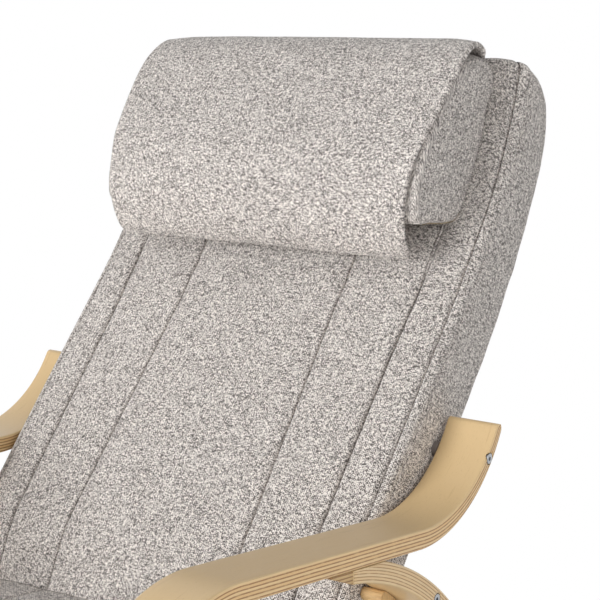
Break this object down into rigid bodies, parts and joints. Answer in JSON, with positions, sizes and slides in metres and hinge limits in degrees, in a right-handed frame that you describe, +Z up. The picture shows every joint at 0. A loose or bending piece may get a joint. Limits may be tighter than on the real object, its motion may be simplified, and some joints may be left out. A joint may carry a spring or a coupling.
{
  "type": "massage rocking chair",
  "caption": "Bentwood rocking armchair with a padded reclined back, a seat cushion, a head pillow under a fold-over flap, a travelling kneading carriage and a wired handset.",
  "frame": {"origin": "on the floor under the middle of the bounding box, in the middle plane between the arms", "axes": "+Z up, +X towards the sitter's left hand, the sitter faces -Y"},
  "size_m": [0.65, 0.9853, 1.0221],
  "materials": {
    "ash": "satin lacquer",
    "walnut_block": "satin",
    "rail_wood": "raw",
    "zinc_steel": "zinc plated",
    "pad_rubber": "matt",
    "webbing": "woven elastic",
    "grey_fabric": "melange weave",
    "lining": "non-woven",
    "motor_steel": "satin",
    "bearing_steel": "ground",
    "bronze": "sintered",
    "black_plastic": "moulded",
    "dark_plastic": "moulded",
    "board_green": "laminate",
    "heater_sheet": "carbon felt",
    "disc_white": "moulded",
    "switch_red": "moulded",
    "key_red": "moulded",
    "key_grey": "moulded",
    "key_amber": "moulded"
  },
  "bodies": {
    "chair": {"arm_band_left": "ash", "arm_band_right": "ash", "rear_arc_left": "ash", "rear_arc_right": "ash", "runner_left": "ash", "runner_right": "ash", "arm_blocks": "walnut_block", "side_blocks": "walnut_block", "front_cross_rail": "rail_wood", "lower_cross_rail": "rail_wood", "frame_bolts": "zinc_steel", "barrel_nuts": "zinc_steel", "frame_screws": "zinc_steel", "rest_pads": "pad_rubber", "spacer_sleeves": "zinc_steel", "seat_side_rails": "rail_wood", "seat_cross_rails": "rail_wood", "seat_webbing": "webbing", "seat_cushion": "grey_fabric", "elbow_brackets": "zinc_steel", "vibration_motor": "motor_steel", "handset_pocket": "grey_fabric", "back_side_rails": "rail_wood", "back_cross_rails": "rail_wood", "back_cushion": "grey_fabric", "rear_cover": "lining", "mechanism_pan": "zinc_steel", "guide_rods": "zinc_steel", "screw_bearings": "bearing_steel", "lift_motor": "motor_steel", "lift_gearbox": "black_plastic", "limit_switches": "black_plastic", "control_box": "black_plastic", "control_lid": "black_plastic", "control_board": "board_green", "power_inlet": "black_plastic", "wiring_leads": "black_plastic", "heater_pad": "heater_sheet"},
    "carriage": {"carriage_plate": "zinc_steel", "carriage_bushes": "bronze", "lead_nut": "bronze", "knead_motor": "motor_steel", "knead_gearbox": "black_plastic"},
    "screw": {"lead_screw": "zinc_steel"},
    "knead_left": {"knead_disc_left": "disc_white", "knead_heads_left": "disc_white"},
    "knead_right": {"knead_disc_right": "disc_white", "knead_heads_right": "disc_white"},
    "shaker": {"vibration_weight": "motor_steel"},
    "headrest": {"head_pillow": "grey_fabric", "flap_tail": "grey_fabric"},
    "flap": {"flap_front": "grey_fabric"},
    "handset": {"handset_back": "black_plastic", "handset_front": "dark_plastic", "handset_board": "board_green"},
    "key_power": {"button_power": "key_red"},
    "key_massage": {"button_massage": "key_grey"},
    "key_zone": {"button_zone": "key_grey"},
    "key_heat": {"button_heat": "key_amber"},
    "rocker_switch": {"power_switch": "switch_red"}
  },
  "joints": [
    {"name": "carriage_slide", "type": "slide", "parent": "chair", "child": "carriage", "axis": [0, 0.6088, 0.7934], "range_m": [-0.15, 0.15]},
    {"name": "lead_screw_spin", "type": "hinge", "parent": "chair", "child": "screw", "pos_m": [0, 0.27183, 0.64495], "axis": [0, 0.6088, 0.7934], "range_deg": [-5410, 5410]},
    {"name": "knead_left_spin", "type": "hinge", "parent": "carriage", "child": "knead_left", "pos_m": [0.055, 0.24962, 0.66199], "axis": [0, 0.7934, -0.6088], "continuous": true},
    {"name": "knead_right_spin", "type": "hinge", "parent": "carriage", "child": "knead_right", "pos_m": [-0.055, 0.24962, 0.66199], "axis": [0, 0.7934, -0.6088], "continuous": true},
    {"name": "shaker_spin", "type": "hinge", "parent": "chair", "child": "shaker", "pos_m": [0, -0.27298, 0.36568], "axis": [1, 0, 0], "continuous": true},
    {"name": "headrest_slide", "type": "slide", "parent": "chair", "child": "headrest", "axis": [0, 0.6088, 0.7934], "range_m": [-0.03, 0]},
    {"name": "flap_lift", "type": "hinge", "parent": "headrest", "child": "flap", "pos_m": [0, 0.40668, 1.01453], "axis": [-1, 0, 0], "range_deg": [0, 110]},
    {"name": "handset_lift", "type": "slide", "parent": "chair", "child": "handset", "axis": [0, 0, 1], "range_m": [0, 0.07]},
    {"name": "press_power", "type": "slide", "parent": "handset", "child": "key_power", "axis": [1, 0, 0], "range_m": [0, 0.0012], "stiffness_N_per_m": 300},
    {"name": "press_massage", "type": "slide", "parent": "handset", "child": "key_massage", "axis": [1, 0, 0], "range_m": [0, 0.0012], "stiffness_N_per_m": 300},
    {"name": "press_zone", "type": "slide", "parent": "handset", "child": "key_zone", "axis": [1, 0, 0], "range_m": [0, 0.0012], "stiffness_N_per_m": 300},
    {"name": "press_heat", "type": "slide", "parent": "handset", "child": "key_heat", "axis": [1, 0, 0], "range_m": [0, 0.0012], "stiffness_N_per_m": 300},
    {"name": "switch_tilt", "type": "hinge", "parent": "chair", "child": "rocker_switch", "pos_m": [-0.032, -0.14918, 0.34121], "axis": [1, 0, 0], "range_deg": [0, 16]}
  ],
  "couplings": [
    {"joint": "lead_screw_spin", "follows": "carriage_slide", "rad_per_m": 628.32},
    {"joint": "knead_right_spin", "follows": "knead_left_spin", "ratio": -1}
  ]
}
